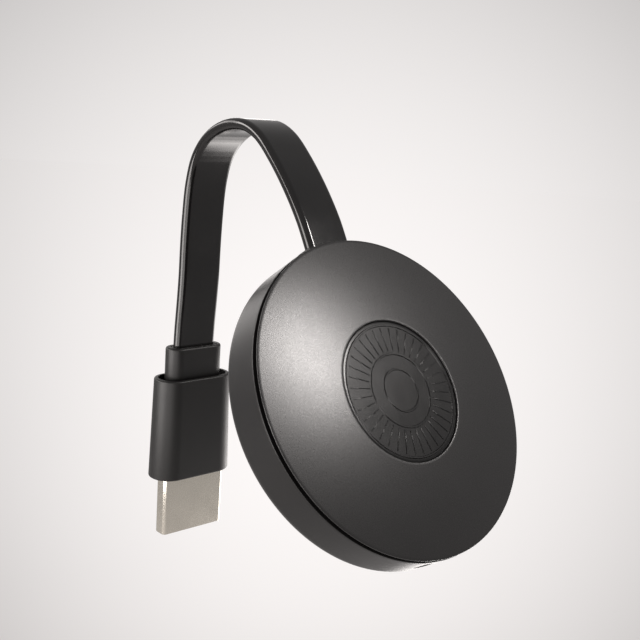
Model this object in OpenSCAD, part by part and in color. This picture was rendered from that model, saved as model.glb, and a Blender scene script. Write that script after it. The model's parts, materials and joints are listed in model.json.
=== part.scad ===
// Round wireless display dongle on a short flat cable that ends in an HDMI type A plug.
// Millimetres. +Z is up along the plug, whose tip points down. +X runs from the plug towards the
// body's domed front, and +Y across the flat cable. The origin is the middle of the plug's tip.

/* [Body] */
// Radius of the round body at its front rim
body_r = 26; // [25:0.5:29]
// Rise of the front dome above its rim
dome_rise = 1.4; // [0.8:0.1:2.4]
// How far the side wall stands out past the front rim
wall_step = 0.1; // [0:0.05:0.3]
// Depth of the straight side wall behind the rim
wall_depth = 6.9; // [6.5:0.1:9]
// Radius of the rounded rear edge
rear_edge_r = 1.8; // [1.2:0.1:2.2]
// Rise of the shallow rear dome past the rounded edge
rear_rise = 3.3; // [2.4:0.1:4.5]
// Radius of the flat pad in the middle of the rear
rear_pad_r = 9; // [6:0.5:12]
// Wall thickness of the rear shell
shell_wall = 1.5; // [1.2:0.1:1.8]
// Width of the dark groove between the front cover and the rear shell
groove_w = 0.45; // [0.3:0.05:0.7]
// How far the body leans back, in degrees
lean = 33.5; // [20:0.5:45]

/* [Front cover] */
// Height of the cover's edge that shows in front of the groove
cover_edge = 0.15; // [0.1:0.05:0.3]
// Depth of the cover's flat ceiling behind the rim
ceiling_depth = 0.9; // [0.8:0.1:1.4]
// Thickness of the skirt that enters the rear shell
skirt_wall = 1; // [0.8:0.1:1.2]
// Reach of the skirt behind the groove
skirt_reach = 1.1; // [0.8:0.1:1.4]
// Depth of the groove in from the side wall
groove_depth = 1; // [0.8:0.1:1.2]
// Radius of the round recess in the dome
recess_r = 11.5; // [9:0.5:14]
// Depth of the recess below the dome's top
recess_depth = 1.05; // [0.8:0.05:1.2]
// Thickness of the plate in the recess
inlay_t = 0.45; // [0.35:0.05:0.6]
// Number of fine ribs round the plate
inlay_ribs = 36; // [12:4:72]

/* [Flat cable] */
// Width of the flat cable
cable_w = 9; // [7:0.2:10]
// Thickness of the flat cable
cable_t = 2; // [1.6:0.1:2.2]
// Gap between the cover's skirt and the sleeve round the cable
exit_gap = 0.6; // [0.4:0.1:0.9]
// How far the sleeve stands out of the side wall
sleeve_out = 0.3; // [0.2:0.1:0.8]

/* [Plug] */
// Width of the plug's metal shell
plug_w = 13.9; // [13.8:0.05:14]
// Height of the plug's metal shell
plug_h = 4.45; // [4.4:0.05:4.5]
// Length of the shell that stands out of the grip
plug_len = 11.5; // [11:0.1:12]
// Width of the moulded grip
grip_w = 17.4; // [16.6:0.2:20]
// Thickness of the moulded grip
grip_t = 7.8; // [7.2:0.2:9]
// Length of the moulded grip
grip_len = 19.9; // [18.5:0.1:24]
// Width of the collar above the grip
collar_w = 12; // [11:0.2:14]
// Thickness of the collar above the grip
collar_t = 4.6; // [4:0.2:6]
// Length of the collar above the grip
collar_len = 6; // [4:0.5:9]

/* [Circuit board] */
// Gap between the round circuit board and the side wall
board_gap = 2.1; // [1.8:0.1:2.3]
// Thickness of the circuit board
board_t = 1; // [0.8:0.1:1.2]
// Depth of the board's straight edge in from its round edge
board_flat_in = 4; // [3.5:0.1:4.5]
// Distance of the board's screws in from its edge
screw_in = 3.5; // [3:0.1:4]
// Height of the shield frame above the board
shield_h = 1.6; // [1.5:0.05:1.8]
// Thickness of the heat spreader
spreader_t = 1; // [0.8:0.1:1.1]
// Gap between the round heat spreader and the cable's clamp
spreader_gap = 2.9; // [2:0.1:5]

/* [Button, light and power socket] */
// Radius of the reset button
button_r = 1.2; // [0.9:0.1:1.3]
// How far the button stands out of the side wall
button_out = 0.25; // [0.1:0.05:0.6]
// Travel of the button
button_travel = 0.3; // [0.2:0.05:0.35]
// Direction of the button from the power socket, in degrees
button_angle = 28; // [26:1:32]
// Radius of the light pipe
pipe_r = 0.9; // [0.6:0.1:1.1]
// Direction of the status light from the power socket, in degrees
light_angle = 47; // [46:1:50]
// Width of the power socket's shell
usb_w = 7.5; // [7.4:0.05:7.7]
// Height of the power socket's shell
usb_h = 2.5; // [2.4:0.05:2.6]

/* [Hidden] */

$fn = 96;
small_fn = 32;

// Gaps: between fixed pieces, and round pieces that slide
fit_gap = 0.05;
slide_gap = 0.08;
// Overrun of every cut past the face that it opens
cut = 1;

// Side wall, groove and skirt
side_r = body_r + wall_step;
wall_top = -(cover_edge + groove_w);
inner_r = side_r - shell_wall;
skirt_r = side_r - groove_depth;
skirt_in_r = skirt_r - skirt_wall;
skirt_end = wall_top - skirt_reach;
ceiling_z = -ceiling_depth;
edge_round = 0.1;
dome_steps = 24;
function dome_z(r) = dome_rise*(1 - pow(r/body_r, 2)) + edge_round;
dome_top = dome_z(0);

// Rear of the shell: a rounded edge, then a dome that eases into a flat pad
rear_steps = 12;
edge_mid_r = side_r - rear_edge_r;
edge_end_z = -(wall_depth + rear_edge_r);
rear_z = edge_end_z - rear_rise;
function rear_dome_z(r) = rear_z + rear_rise*pow((r - rear_pad_r)/(edge_mid_r - rear_pad_r), 2);
function floor_z(r) = r < rear_pad_r ? rear_z + shell_wall : rear_dome_z(r) + shell_wall;

// Clips of the cover, and the pockets that they snap into
clip_angles = [75, 150, 210, 285];
clip_w = 3;
clip_reach = 1.5;
clip_hook = 0.35;
clip_hook_h = 0.8;

// Recess and its plate
recess_z = dome_top - recess_depth;
inlay_r = recess_r - fit_gap;
inlay_top = recess_z + inlay_t;
ring_h = 0.15;
ring_w = 0.35;
ring_shares = [0.94, 0.52, 0.3];
rib_w = 0.18;
rib_h = 0.1;
rib_in_share = 0.56;
rib_out_share = 0.9;

// Board inside the side wall
board_r = inner_r - board_gap;
board_flat = board_r - board_flat_in;
screw_ring_r = board_r - screw_in;

// Stack from the cover's ceiling back to the board
press_rib_h = 0.5;
press_rib_w = 1;
pad_t = 0.8;
lid_t = 0.2;
spreader_top = ceiling_z - press_rib_h;
spreader_low = spreader_top - spreader_t;
lid_top = spreader_low - pad_t;
board_top = lid_top - lid_t - shield_h;
board_low = board_top - board_t;

// Board screws: where they stand, their heads, shanks and posts
screw_angles = [62, 135, 225, 298];
screw_head_r = 1.4;
screw_head_h = 0.9;
screw_r = 0.7;
screw_len = 2.4;
screw_slot_w = 0.35;
screw_slot_h = 0.4;
post_r = 1.9;
pilot_end = 0.25;
board_hole_gap = 0.2;

// Cable inside the body, its sleeve, header and clamp
sleeve_wall = 0.9;
sleeve_len = 3;
exit_r = side_r + sleeve_out;
exit_depth = exit_gap + sleeve_wall + cable_t/2 - skirt_end;
tail_z = -exit_depth;
header_l = 3;
header_side = 1;
header_over = 0.2;
header_h = tail_z + cable_t/2 + header_over - board_top;
clamp_l = 2.7;
clamp_t = 1.2;
clamp_head_r = 1.2;
clamp_head_h = 0.7;
clamp_screw_r = 0.6;
clamp_screw_len = 3;
clamp_post_r = 1.5;
clamp_side = 1.2;
clamp_edge = 0.5;
clamp_gap = 0.4;
clamp_screw_y = cable_w/2 + clamp_side + clamp_post_r;
clamp_half = clamp_screw_y + clamp_head_r + clamp_edge;
clamp_far = sqrt(pow(inner_r - clamp_gap, 2) - pow(clamp_half, 2));
clamp_mid = clamp_far - clamp_l/2;
spreader_r = clamp_far - clamp_l - spreader_gap;
saddle_side = 0.4;

// Power socket
usb_len = 5.4;
usb_lip = 0.5;
usb_far = inner_r + usb_lip;
usb_mid_z = board_top + usb_h/2;

// Chips: length, width and height of each, and the gaps that they keep
processor_size = [10, 10, 1];
memory_size = [7, 9, 0.9];
storage_size = [7, 5, 1];
power_size = [3.2, 3.2, 0.8];
radio_size = [9, 7, 1.7];
crystal_size = [3.2, 2.5, 0.8];
coil_size = [3.2, 3.2, 2];
capacitor_size = [1.6, 0.8, 0.8];
capacitor_pitch = 1.6;
capacitor_count = 7;
chip_pad_side = 1;
part_gap = 0.9;

// Shield over the processor and memory, halfway between the cable's header and the power socket
shield_wall = 0.3;
shield_side = 1.7;
chips_gap = 1.5;
lid_skirt = 0.8;
shield_l = processor_size[0] + chips_gap + memory_size[0] + part_gap + 2*shield_wall;
shield_w = processor_size[1] + 2*shield_side + 2*shield_wall;
lid_l = shield_l + 2*(fit_gap + lid_t);
lid_w = shield_w + 2*(fit_gap + lid_t);
shield_x = (usb_far - usb_len - board_flat + header_l)/2;
processor_x = shield_x - shield_l/2 + shield_wall + part_gap/2 + processor_size[0]/2;
memory_x = shield_x + shield_l/2 - shield_wall - part_gap/2 - memory_size[0]/2;
// Two rows beside the shield: each part starts where the one before it ends
row_x = shield_x - shield_l/2;
power_from = row_x + radio_size[0] + part_gap;
coil_from = power_from + power_size[0] + part_gap;
crystal_from = row_x + storage_size[0] + part_gap;
second_coil_from = crystal_from + crystal_size[0] + part_gap;

// Walls and tongue of the power socket
usb_wall = 0.3;
usb_slope = 0.9;
usb_base = 1.6;
usb_tongue_w = 3.8;
usb_tongue_t = 0.7;
usb_tongue_back = 0.5;
usb_blades = 5;
usb_pitch = 0.65;
usb_blade_w = 0.4;
usb_blade_t = 0.1;
usb_blade_back = 1.1;
usb_open_gap = 0.4;

// Button, its switch and the status light, on one height above the board
control_z = board_top + 1.1*button_r;
stem_r = 0.7;
flange_over = 0.6;
flange_t = 0.5;
flange_gap = 0.15;
switch_l = 3.6;
switch_t = 2;
switch_h = 2.2;
plunger_r = 0.55;
plunger_out = 0.8;
plunger_in = 0.9;
switch_in = 3.2;
switch_far = inner_r - switch_in;
led_w = 1.6;
led_t = 0.8;
led_h = 1.4;
led_in = 2.6;
led_far = inner_r - led_in;
pipe_flange_r = 1.4;
pipe_flange_t = 0.5;

// Antennas: thin strips on the side wall with a foot on the board
antenna_t = 0.3;
antenna_gap = 0.5;
antenna_up = 0.4;
antenna_top_z = skirt_end - antenna_gap;
antenna_low_z = board_top + antenna_up;
antenna_angles = [95, 130];
antenna_foot_w = 1.6;
antenna_foot_in = 2.4;

// Plug: wall and outline of its shell, block, contacts and the small board behind them
plug_wall = 0.4;
plug_slope = 1.75;
plug_corner = 0.5;
plug_root = 4;
block_back = 0.9;
slot_side = 0.6;
slot_w = plug_w - 2*plug_wall - 2*slot_side;
slot_t = 2;
slot_len = 8.2;
contact_w = 0.45;
contact_t = 0.15;
contact_pitch = 1;
contact_rows = [10, 9];
contact_back = 0.8;
contact_tail = 2;
card_side = 0.45;
card_w = plug_w - 2*card_side;
card_gap = 0.4;
root_len = 4.2;
grip_edge = 0.7;
collar_edge = 0.4;
grip_z = plug_len;
collar_z = grip_z + grip_len;
cable_z = collar_z + collar_len;
card_z = grip_z + plug_root + fit_gap;
card_t = slot_t - 2*contact_t;
root_z = collar_z - root_len;
card_len = root_z - card_z;

// Route of the free cable in the plane Y = 0, from the collar's top face to the sleeve's face
route = [[0, 0], [0.2, 4], [0.6, 9], [0.9, 14], [1, 19], [1.2, 24], [1.6, 29.3], [2.3, 33], [3.5, 36.3],
    [5.8, 39.3], [9.2, 41.6], [13.4, 42.9], [17.9, 42.9], [21.8, 41.3], [25.1, 38.6], [28.4, 35.3],
    [31.5, 31.7], [34.3, 27.9], [36.6, 24]];
cable_round = 0.5;
route_end = route[len(route) - 1];

// The body hangs on the end of the cable: its own +Z is its front, its own -X its cable side
head_x_axis = [sin(lean), 0, -cos(lean)];
head_z_axis = [cos(lean), 0, sin(lean)];
head_place = [route_end[0], 0, route_end[1] + cable_z] + exit_r*head_x_axis + exit_depth*head_z_axis;

module on_head() {
    translate(head_place) rotate([0, 90 - lean, 0]) children();
}

// A block on the board's top face, centred on X and Y
module on_board(size, x, y) {
    translate([x, y, board_top + size[2]/2]) cube(size, center = true);
}

// A block in the row beside the shield, on its +Y or -Y side, from X on
module in_row(size, from, side) {
    on_board(size, from + size[0]/2, side*(lid_w/2 + part_gap + size[1]/2));
}

// A round bar along +X from one distance to another
module bar_x(r, from, to) {
    translate([from, 0, 0]) rotate([0, 90, 0]) cylinder(r = r, h = to - from, $fn = small_fn);
}

// Places its children at each angle of a list
module at_angles(angles) {
    for (a = angles) rotate([0, 0, a]) children();
}

module disc_ring(r_out, r_in, low, high) {
    translate([0, 0, low]) difference() {
        cylinder(r = r_out, h = high - low);
        translate([0, 0, -cut]) cylinder(r = r_in, h = high - low + 2*cut);
    }
}

// The cover's clips, or with a gap grown round them the pockets that they snap into
module cover_clips(grow) {
    face = inner_r - 2*fit_gap;
    at_angles(clip_angles) {
        translate([skirt_in_r, -clip_w/2 - grow, skirt_end - clip_reach - grow])
            cube([face - skirt_in_r, clip_w + 2*grow, clip_reach + skirt_reach/2 + grow]);
        translate([face - clip_hook, -clip_w/2 - grow, skirt_end - clip_reach - grow])
            cube([2*clip_hook + grow, clip_w + 2*grow, clip_hook_h + 2*grow]);
    }
}

module front_cover() {
    dome = [for (i = [0:dome_steps]) let(r = body_r*i/dome_steps) [r, dome_z(r)]];
    color([0.2, 0.2, 0.21]) on_head() {
        difference() {
            rotate_extrude() polygon(concat(dome, [[body_r, -cover_edge], [skirt_r, -cover_edge],
                [skirt_r, skirt_end], [skirt_in_r, skirt_end], [skirt_in_r, ceiling_z], [0, ceiling_z]]));
            translate([0, 0, recess_z]) cylinder(r = recess_r, h = recess_depth + cut);
        }
        disc_ring(spreader_r - press_rib_w, spreader_r - 2*press_rib_w, spreader_top, ceiling_z);
        cover_clips(0);
    }
}

module front_inlay() {
    color([0.12, 0.12, 0.13]) on_head() {
        translate([0, 0, recess_z]) cylinder(r = inlay_r, h = inlay_t);
        for (s = ring_shares)
            disc_ring(inlay_r*s + ring_w/2, inlay_r*s - ring_w/2, inlay_top - ring_h, inlay_top + ring_h);
        for (i = [0:inlay_ribs - 1]) rotate([0, 0, 360*i/inlay_ribs])
            translate([inlay_r*rib_in_share, -rib_w/2, inlay_top - rib_h])
                cube([inlay_r*(rib_out_share - rib_in_share), rib_w, 2*rib_h]);
    }
}

// Outline of half the rear shell, the outer face from the mouth to the middle and the inner face back
function rear_outer() = concat(
    [[side_r, wall_top]],
    [for (i = [0:rear_steps]) let(a = -66*i/rear_steps)
        [edge_mid_r + rear_edge_r*cos(a), -wall_depth + rear_edge_r*sin(a)]],
    [for (i = [0:rear_steps]) let(r = edge_mid_r + (rear_pad_r - edge_mid_r)*i/rear_steps)
        [r, rear_dome_z(r)]],
    [[0, rear_z]]);
function rear_inner() = concat(
    [[0, rear_z + shell_wall]],
    [for (i = [0:rear_steps]) let(r = rear_pad_r + (edge_mid_r - rear_pad_r)*i/rear_steps)
        [r, rear_dome_z(r) + shell_wall]],
    [[inner_r, -wall_depth], [inner_r, skirt_end - fit_gap], [skirt_r + fit_gap, skirt_end - fit_gap],
        [skirt_r + fit_gap, wall_top]]);

// A round post from the floor up to a height, at a distance along +X, with a pilot hole in its top
module post(r, at_r, pilot_r, pilot_depth, top) {
    low = floor_z(at_r - r) - fit_gap;
    translate([at_r, 0, low]) difference() {
        cylinder(r = r, h = top - low, $fn = small_fn);
        translate([0, 0, top - low - pilot_depth])
            cylinder(r = pilot_r, h = pilot_depth + cut, $fn = small_fn);
    }
}

module rear_shell() {
    sleeve_half = cable_w/2 + sleeve_wall + fit_gap;
    sleeve_tall = cable_t + 2*sleeve_wall + 2*fit_gap;
    saddle_low = floor_z(clamp_far - clamp_l) - fit_gap;
    saddle_half = cable_w/2 + saddle_side;
    color([0.16, 0.16, 0.17]) on_head() difference() {
        union() {
            rotate_extrude() polygon(concat(rear_outer(), rear_inner()));
            at_angles(screw_angles)
                post(post_r, screw_ring_r, screw_r, screw_len - board_t + pilot_end, board_low);
            at_angles([for (side = [-1, 1]) 180 + side*atan(clamp_screw_y/clamp_mid)])
                post(clamp_post_r, norm([clamp_mid, clamp_screw_y]), clamp_screw_r,
                    clamp_screw_len + pilot_end - clamp_t, tail_z + cable_t/2);
            translate([-clamp_far, -saddle_half, saddle_low])
                cube([clamp_l, 2*saddle_half, tail_z - cable_t/2 - saddle_low]);
        }
        translate([-side_r - cut, -sleeve_half, tail_z - sleeve_tall/2])
            cube([side_r + cut - clamp_far - fit_gap, 2*sleeve_half, sleeve_tall]);
        translate([usb_far - 2*cut, -usb_w/2 - usb_open_gap, usb_mid_z - usb_h/2 - usb_open_gap])
            cube([side_r, usb_w + 2*usb_open_gap, usb_h + 2*usb_open_gap]);
        translate([0, 0, control_z]) rotate([0, 0, button_angle])
            bar_x(button_r + slide_gap, inner_r - cut, side_r + cut);
        translate([0, 0, control_z]) rotate([0, 0, light_angle])
            bar_x(pipe_r + fit_gap, inner_r - cut, side_r + cut);
        cover_clips(fit_gap);
    }
}

module exit_grommet() {
    outer = [sleeve_len, cable_w + 2*sleeve_wall, cable_t + 2*sleeve_wall];
    hole = [sleeve_len + 2*cut, cable_w + 2*fit_gap, cable_t + 2*fit_gap];
    color([0.07, 0.07, 0.08]) on_head() translate([-exit_r + sleeve_len/2, 0, tail_z]) difference() {
        cube(outer, center = true);
        cube(hole, center = true);
    }
}

module cable_tail() {
    color([0.09, 0.09, 0.1]) on_head() translate([-exit_r, -cable_w/2, tail_z - cable_t/2])
        cube([exit_r - board_flat, cable_w, cable_t]);
}

module cable_header() {
    color([0.85, 0.83, 0.76]) on_head()
        translate([-board_flat, -cable_w/2 - header_side, board_top])
            cube([header_l, cable_w + 2*header_side, header_h]);
}

module clamp_places() {
    for (side = [-1, 1]) translate([-clamp_mid, side*clamp_screw_y, tail_z + cable_t/2]) children();
}

module cable_clamp() {
    color([0.3, 0.3, 0.31]) on_head() difference() {
        translate([-clamp_far, -clamp_half, tail_z + cable_t/2]) cube([clamp_l, 2*clamp_half, clamp_t]);
        clamp_places() translate([0, 0, -cut])
            cylinder(r = clamp_screw_r + slide_gap, h = clamp_t + 2*cut, $fn = small_fn);
    }
}

// A cross-slotted pan head screw: its head stands on Z = 0 and its shank goes down
module screw(head_r, head_h, shank_r, shank_len) {
    difference() {
        union() {
            cylinder(r1 = head_r, r2 = 0.8*head_r, h = head_h, $fn = small_fn);
            translate([0, 0, -shank_len])
                cylinder(r = shank_r - fit_gap/2, h = shank_len + head_h/2, $fn = small_fn);
        }
        for (a = [0, 90]) rotate([0, 0, a]) translate([-head_r/2, -screw_slot_w/2, head_h - screw_slot_h])
            cube([head_r, screw_slot_w, screw_slot_h + cut]);
    }
}

module clamp_screws() {
    color([0.75, 0.75, 0.76]) on_head() clamp_places() translate([0, 0, clamp_t])
        screw(clamp_head_r, clamp_head_h, clamp_screw_r, clamp_screw_len);
}

module board_screws() {
    color([0.75, 0.75, 0.76]) on_head() at_angles(screw_angles) translate([screw_ring_r, 0, board_top])
        screw(screw_head_r, screw_head_h, screw_r, screw_len);
}

module main_board() {
    color([0.08, 0.3, 0.18]) on_head() difference() {
        translate([0, 0, board_low]) cylinder(r = board_r, h = board_t);
        translate([-board_flat - 2*board_r, -board_r, board_low - cut])
            cube([2*board_r, 2*board_r, board_t + 2*cut]);
        at_angles(screw_angles) translate([screw_ring_r, 0, board_low - cut])
            cylinder(r = screw_r + board_hole_gap, h = board_t + 2*cut, $fn = small_fn);
    }
}

module processor_chip() {
    color([0.1, 0.1, 0.11]) on_head() on_board(processor_size, processor_x, 0);
}

module memory_chip() {
    color([0.1, 0.1, 0.11]) on_head() on_board(memory_size, memory_x, 0);
}

module storage_chip() {
    color([0.1, 0.1, 0.11]) on_head() in_row(storage_size, row_x, -1);
}

module power_chip() {
    color([0.1, 0.1, 0.11]) on_head() in_row(power_size, power_from, 1);
}

module radio_module() {
    color([0.72, 0.72, 0.73]) on_head() in_row(radio_size, row_x, 1);
}

module power_coils() {
    color([0.3, 0.3, 0.32]) on_head() {
        in_row(coil_size, coil_from, 1);
        in_row(coil_size, second_coil_from, -1);
    }
}

// A column of capacitors at each end of the shield
module board_capacitors() {
    color([0.72, 0.6, 0.42]) on_head() for (side = [-1, 1]) for (i = [0:capacitor_count - 1])
        on_board(capacitor_size, shield_x + side*(lid_l/2 + part_gap + capacitor_size[0]/2),
            (i - (capacitor_count - 1)/2)*capacitor_pitch);
}

module clock_crystal() {
    color([0.8, 0.8, 0.82]) on_head() in_row(crystal_size, crystal_from, -1);
}

module shield_frame() {
    color([0.78, 0.78, 0.8]) on_head() translate([shield_x, 0, board_top]) linear_extrude(shield_h)
        difference() {
            square([shield_l, shield_w], center = true);
            square([shield_l - 2*shield_wall, shield_w - 2*shield_wall], center = true);
        }
}

module shield_lid() {
    color([0.82, 0.82, 0.84]) on_head() translate([shield_x, 0, lid_top - lid_t]) {
        linear_extrude(lid_t) square([lid_l, lid_w], center = true);
        translate([0, 0, -lid_skirt]) linear_extrude(lid_skirt + lid_t/2) difference() {
            square([lid_l, lid_w], center = true);
            square([shield_l + 2*fit_gap, shield_w + 2*fit_gap], center = true);
        }
    }
}

// One soft pad between the processor and the lid, and one between the lid and the heat spreader
module thermal_pads() {
    chip_top = board_top + processor_size[2];
    lid_low = lid_top - lid_t;
    color([0.62, 0.66, 0.72]) on_head() {
        translate([processor_x, 0, (chip_top + lid_low)/2])
            cube([processor_size[0] - chip_pad_side, processor_size[1] - chip_pad_side, lid_low - chip_top],
                center = true);
        translate([shield_x, 0, lid_top + pad_t/2])
            cube([shield_l - chip_pad_side, shield_w - chip_pad_side, pad_t], center = true);
    }
}

module heat_spreader() {
    color([0.8, 0.81, 0.83]) on_head() translate([0, 0, spreader_low])
        cylinder(r = spreader_r, h = spreader_t);
}

// The socket's outline across its mouth: square at the top, sloped in at the bottom
module usb_outline(inset) {
    half = usb_w/2 - inset;
    tall = usb_h/2 - inset;
    polygon([[half, tall], [half, usb_slope - tall], [half - usb_slope, -tall], [usb_slope - half, -tall],
        [-half, usb_slope - tall], [-half, tall]]);
}

// Turns an outline drawn across the socket's mouth to run from one distance to another along +X
module along_socket(from, to) {
    translate([from, 0, usb_mid_z]) rotate([90, 0, 90]) linear_extrude(to - from) children();
}

module usb_shell() {
    color([0.74, 0.74, 0.76]) on_head() difference() {
        along_socket(usb_far - usb_len, usb_far) usb_outline(0);
        along_socket(usb_far - usb_len + usb_wall, usb_far + cut) usb_outline(usb_wall);
    }
}

module usb_tongue() {
    back = usb_far - usb_len + usb_wall + fit_gap;
    tongue_z = usb_mid_z + usb_h/2 - usb_wall - fit_gap - usb_tongue_t;
    color([0.1, 0.1, 0.11]) on_head() {
        along_socket(back, back + usb_base) usb_outline(usb_wall + fit_gap);
        translate([back, -usb_tongue_w/2, tongue_z - usb_tongue_t/2])
            cube([usb_far - usb_tongue_back - back, usb_tongue_w, usb_tongue_t]);
    }
}

module usb_contacts() {
    back = usb_far - usb_len + usb_wall + fit_gap + usb_base;
    under = usb_mid_z + usb_h/2 - usb_wall - fit_gap - 1.5*usb_tongue_t - usb_blade_t;
    color([0.85, 0.68, 0.3]) on_head() for (i = [0:usb_blades - 1])
        translate([back, (i - (usb_blades - 1)/2)*usb_pitch - usb_blade_w/2, under])
            cube([usb_far - usb_blade_back - back, usb_blade_w, usb_blade_t]);
}

module reset_button() {
    flange_far = inner_r - flange_gap;
    color([0.1, 0.1, 0.11]) on_head() translate([0, 0, control_z]) rotate([0, 0, button_angle]) {
        bar_x(button_r, flange_far - flange_t/2, side_r + button_out);
        bar_x(button_r + flange_over, flange_far - flange_t, flange_far);
        bar_x(stem_r, switch_far + plunger_out + fit_gap, flange_far - flange_t/2);
    }
}

module switch_body() {
    color([0.82, 0.82, 0.8]) on_head() rotate([0, 0, button_angle]) difference() {
        translate([switch_far - switch_t, -switch_l/2, board_top]) cube([switch_t, switch_l, switch_h]);
        translate([0, 0, control_z]) bar_x(plunger_r + slide_gap, switch_far - switch_t/2 - button_travel,
            switch_far + cut);
    }
}

module switch_plunger() {
    color([0.15, 0.15, 0.16]) on_head() translate([0, 0, control_z]) rotate([0, 0, button_angle])
        bar_x(plunger_r, switch_far - plunger_in, switch_far + plunger_out);
}

module status_led() {
    color([0.95, 0.95, 0.9]) on_head() rotate([0, 0, light_angle])
        translate([led_far - led_t, -led_w/2, board_top]) cube([led_t, led_w, led_h]);
}

module light_pipe() {
    color([0.85, 0.88, 0.9, 0.6]) on_head() translate([0, 0, control_z]) rotate([0, 0, light_angle]) {
        bar_x(pipe_r, led_far + fit_gap, side_r);
        bar_x(pipe_flange_r, inner_r - flange_gap - pipe_flange_t, inner_r - flange_gap);
    }
}

// One antenna strip on the inside of the side wall, from one angle to another, and its foot
module antenna(side) {
    face = inner_r - fit_gap;
    first = antenna_angles[0];
    last = antenna_angles[1];
    tall = antenna_top_z - antenna_low_z;
    on_head() {
        intersection() {
            disc_ring(face, face - antenna_t, antenna_low_z, antenna_top_z);
            translate([0, 0, antenna_low_z - tall]) linear_extrude(3*tall) polygon([[0, 0],
                for (i = [0:4]) let(a = side*(first + (last - first)*i/4)) 2*face*[cos(a), sin(a)]]);
        }
        rotate([0, 0, side*(first + last)/2]) translate([face - antenna_t, -antenna_foot_w/2, board_top]) {
            translate([antenna_t/2 - antenna_foot_in, 0, 0])
                cube([antenna_foot_in, antenna_foot_w, antenna_t]);
            cube([0.9*antenna_t, antenna_foot_w, antenna_up + antenna_t]);
        }
    }
}

module antenna_left() {
    color([0.75, 0.5, 0.25]) antenna(1);
}

module antenna_right() {
    color([0.75, 0.5, 0.25]) antenna(-1);
}

// Sweep of the free cable: points midway between the route's points lie on a smooth curve
function route_at(i) = route[max(0, min(len(route) - 1, i))];
function between(i) = (9*route_at(i) + 9*route_at(i + 1) - route_at(i - 1) - route_at(i + 2))/16;
function fine_route() = [for (i = [0:2*len(route) - 2]) i % 2 == 0 ? route[i/2] : between((i - 1)/2)];
function heading(path, i) = i == 0 ? [0, 1] : i == len(path) - 1 ? [sin(lean), -cos(lean)]
    : (path[i + 1] - path[i - 1])/norm(path[i + 1] - path[i - 1]);
function cable_section() = let(w = cable_w/2, t = cable_t/2, c = cable_round)
    [[w, t - c], [w - c, t], [c - w, t], [-w, t - c], [-w, c - t], [c - w, -t], [w - c, -t], [w, c - t]];

module flat_cable() {
    path = fine_route();
    section = cable_section();
    sides = len(section);
    last = len(path) - 1;
    points = [for (i = [0:last]) let(d = heading(path, i), across = [-d[1], d[0]])
        for (q = section) [path[i][0] + q[1]*across[0], q[0], cable_z + path[i][1] + q[1]*across[1]]];
    walls = [for (i = [0:last - 1], k = [0:sides - 1]) let(a = i*sides + k, b = i*sides + (k + 1) % sides)
        each [[a, a + sides, b], [b, a + sides, b + sides]]];
    ends = [[for (k = [0:sides - 1]) k], [for (k = [0:sides - 1]) last*sides + sides - 1 - k]];
    color([0.08, 0.08, 0.09]) polyhedron(points, concat(walls, ends), convexity = 4);
}

// A flat-sided outline with half-round ends, its long way along Y
module pill(w, t) {
    hull() for (side = [-1, 1]) translate([0, side*(w - t)/2]) circle(d = t, $fn = small_fn);
}

// A pill-shaped block from Z = 0 up, with its upper and lower edges cut back
module soft_pill(w, t, h, edge) {
    hull() {
        translate([0, 0, edge]) linear_extrude(h - 2*edge) pill(w, t);
        linear_extrude(h) pill(w - edge, t - edge);
    }
}

module plug_outline(grow) {
    half = plug_w/2 + grow;
    tall = plug_h/2 + grow;
    offset(r = plug_corner) offset(delta = -plug_corner)
        polygon([[tall, half], [tall, -half], [plug_slope - tall, -half], [-tall, plug_slope - half],
            [-tall, half - plug_slope], [plug_slope - tall, half]]);
}

module plug_collar() {
    color([0.1, 0.1, 0.11]) difference() {
        translate([0, 0, collar_z]) soft_pill(collar_w, collar_t, collar_len, collar_edge);
        translate([0, 0, collar_z + collar_len/2])
            cube([cable_t + 2*fit_gap, cable_w + 2*fit_gap, collar_len + 2*cut], center = true);
    }
}

module cable_root() {
    color([0.09, 0.09, 0.1]) translate([-cable_t/2, -cable_w/2, root_z])
        cube([cable_t, cable_w, cable_z - root_z]);
}

module plug_overmold() {
    color([0.1, 0.1, 0.11]) difference() {
        translate([0, 0, grip_z]) soft_pill(grip_w, grip_t, grip_len, grip_edge);
        translate([0, 0, grip_z - cut]) linear_extrude(cut + plug_root + fit_gap) plug_outline(fit_gap);
        translate([-card_t/2 - card_gap, -card_w/2 - card_gap, grip_z + plug_root])
            cube([card_t + 2*card_gap, card_w + 2*card_gap, root_z + fit_gap - grip_z - plug_root]);
        translate([-cable_t/2 - fit_gap, -cable_w/2 - fit_gap, root_z])
            cube([cable_t + 2*fit_gap, cable_w + 2*fit_gap, collar_z - root_z + cut]);
    }
}

module plug_board() {
    color([0.08, 0.3, 0.18]) translate([-card_t/2, -card_w/2, card_z]) cube([card_t, card_w, card_len]);
}

module plug_shell() {
    color([0.68, 0.66, 0.62]) difference() {
        linear_extrude(plug_len + plug_root) plug_outline(0);
        translate([0, 0, -cut]) linear_extrude(plug_len + plug_root + 2*cut) plug_outline(-plug_wall);
    }
}

// The contact bars: one row on each wide side of the slot, running back over the small board
module contact_bars(grow) {
    for (row = [0, 1]) for (i = [0:contact_rows[row] - 1])
        translate([(row == 0 ? 1 : -1)*(slot_t - contact_t)/2,
            (i - (contact_rows[row] - 1)/2)*contact_pitch, contact_back])
        translate([-contact_t/2 - grow, -contact_w/2 - grow, block_back])
            cube([contact_t + 2*grow, contact_w + 2*grow, plug_len + plug_root + contact_tail - block_back]);
}

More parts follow.
